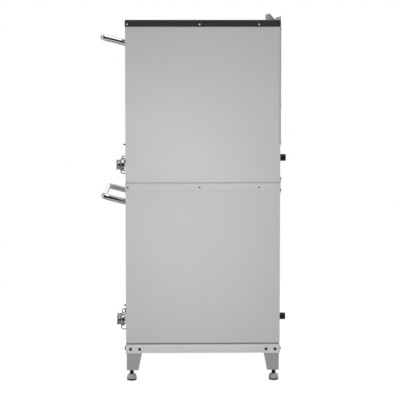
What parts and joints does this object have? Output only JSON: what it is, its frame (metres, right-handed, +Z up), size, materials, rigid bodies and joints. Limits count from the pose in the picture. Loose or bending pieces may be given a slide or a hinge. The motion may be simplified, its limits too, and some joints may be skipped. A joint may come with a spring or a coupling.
{
  "type": "pizza oven",
  "caption": "Floor-standing gas deck pizza oven, one deck stacked on another, with drop-down doors, tube handles, knobs, levelling feet and a rear flue hood.",
  "frame": {"origin": "on the floor, at the middle of the whole outline seen from above", "axes": "+Z up, -Y towards the front with the doors, +X to the right seen from the front"},
  "size_m": [1.215, 1.003, 1.977],
  "materials": {
    "stainless": "fine brushed",
    "black_paint": "satin black enamel",
    "zinc_steel": "zinc plated",
    "feet_steel": "turned and plated",
    "angle_steel": "mill finish",
    "aluminised_steel": "aluminised",
    "baking_stone": "cast firebrick",
    "mineral_wool": "fibrous",
    "black_iron": "black iron",
    "valve_casting": "die cast",
    "chrome": "polished chrome",
    "black_plastic": "satin"
  },
  "bodies": {
    "cabinet": {"base_frame": "stainless", "legs": "stainless", "hex_bolts": "zinc_steel", "cover_screws": "zinc_steel", "panel_thumbscrews": "black_plastic", "stacking_brackets": "zinc_steel", "rear_cover": "zinc_steel", "vent_duct": "aluminised_steel", "flue_hood": "stainless", "knob_guards": "chrome", "gas_controls": "valve_casting", "igniter_bezels": "black_plastic", "lower_chassis": "angle_steel", "upper_chassis": "angle_steel", "lower_top_cover": "stainless", "upper_top_cover": "black_paint", "lower_left_side": "stainless", "upper_left_side": "stainless", "lower_right_side": "stainless", "upper_right_side": "stainless", "lower_back_panel": "stainless", "upper_back_panel": "stainless", "lower_front_frame": "stainless", "upper_front_frame": "stainless", "lower_burner_cover": "stainless", "upper_burner_cover": "stainless", "lower_control_panel": "stainless", "upper_control_panel": "stainless", "lower_insulation": "mineral_wool", "upper_insulation": "mineral_wool", "lower_oven_liner": "aluminised_steel", "upper_oven_liner": "aluminised_steel", "lower_stones": "baking_stone", "upper_stones": "baking_stone", "lower_deflector": "aluminised_steel", "upper_deflector": "aluminised_steel", "lower_burners": "aluminised_steel", "upper_burners": "aluminised_steel", "lower_gas_pipe": "black_iron", "upper_gas_pipe": "black_iron"},
    "lower_door": {"lower_door_skin": "stainless", "lower_door_liner": "aluminised_steel", "lower_door_insulation": "mineral_wool", "lower_door_handle": "chrome", "lower_hinge_pins": "zinc_steel"},
    "lower_valve_knob": {"lower_valve_knob": "chrome"},
    "lower_thermostat_knob": {"lower_thermostat_knob": "chrome"},
    "lower_igniter_button": {"lower_igniter_button": "black_plastic"},
    "upper_door": {"upper_door_skin": "stainless", "upper_door_liner": "aluminised_steel", "upper_door_insulation": "mineral_wool", "upper_door_handle": "chrome", "upper_hinge_pins": "zinc_steel"},
    "upper_valve_knob": {"upper_valve_knob": "chrome"},
    "upper_thermostat_knob": {"upper_thermostat_knob": "chrome"},
    "upper_igniter_button": {"upper_igniter_button": "black_plastic"},
    "foot_front_left": {"foot_front_left": "feet_steel"},
    "foot_front_right": {"foot_front_right": "feet_steel"},
    "foot_rear_left": {"foot_rear_left": "feet_steel"},
    "foot_rear_right": {"foot_rear_right": "feet_steel"}
  },
  "joints": [
    {"name": "lower_door_hinge", "type": "hinge", "parent": "cabinet", "child": "lower_door", "pos_m": [0, -0.3545, 0.716], "axis": [1, 0, 0], "range_deg": [0, 90]},
    {"name": "lower_valve_knob_turn", "type": "hinge", "parent": "cabinet", "child": "lower_valve_knob", "pos_m": [0.225, -0.3625, 0.272], "axis": [0, 1, 0], "range_deg": [0, 90]},
    {"name": "lower_thermostat_knob_turn", "type": "hinge", "parent": "cabinet", "child": "lower_thermostat_knob", "pos_m": [0.128, -0.3625, 0.272], "axis": [0, 1, 0], "range_deg": [0, 270]},
    {"name": "lower_igniter_press", "type": "slide", "parent": "cabinet", "child": "lower_igniter_button", "axis": [0, 1, 0], "range_m": [0, 0.005], "stiffness_N_per_m": 400},
    {"name": "upper_door_hinge", "type": "hinge", "parent": "cabinet", "child": "upper_door", "pos_m": [0, -0.3545, 1.582], "axis": [1, 0, 0], "range_deg": [0, 90]},
    {"name": "upper_valve_knob_turn", "type": "hinge", "parent": "cabinet", "child": "upper_valve_knob", "pos_m": [0.225, -0.3625, 1.138], "axis": [0, 1, 0], "range_deg": [0, 90]},
    {"name": "upper_thermostat_knob_turn", "type": "hinge", "parent": "cabinet", "child": "upper_thermostat_knob", "pos_m": [0.128, -0.3625, 1.138], "axis": [0, 1, 0], "range_deg": [0, 270]},
    {"name": "upper_igniter_press", "type": "slide", "parent": "cabinet", "child": "upper_igniter_button", "axis": [0, 1, 0], "range_m": [0, 0.005], "stiffness_N_per_m": 400},
    {"name": "foot_front_left_level", "type": "slide", "parent": "cabinet", "child": "foot_front_left", "axis": [0, 0, -1], "range_m": [0, 0.02]},
    {"name": "foot_front_right_level", "type": "slide", "parent": "cabinet", "child": "foot_front_right", "axis": [0, 0, -1], "range_m": [0, 0.02]},
    {"name": "foot_rear_left_level", "type": "slide", "parent": "cabinet", "child": "foot_rear_left", "axis": [0, 0, -1], "range_m": [0, 0.02]},
    {"name": "foot_rear_right_level", "type": "slide", "parent": "cabinet", "child": "foot_rear_right", "axis": [0, 0, -1], "range_m": [0, 0.02]}
  ]
}
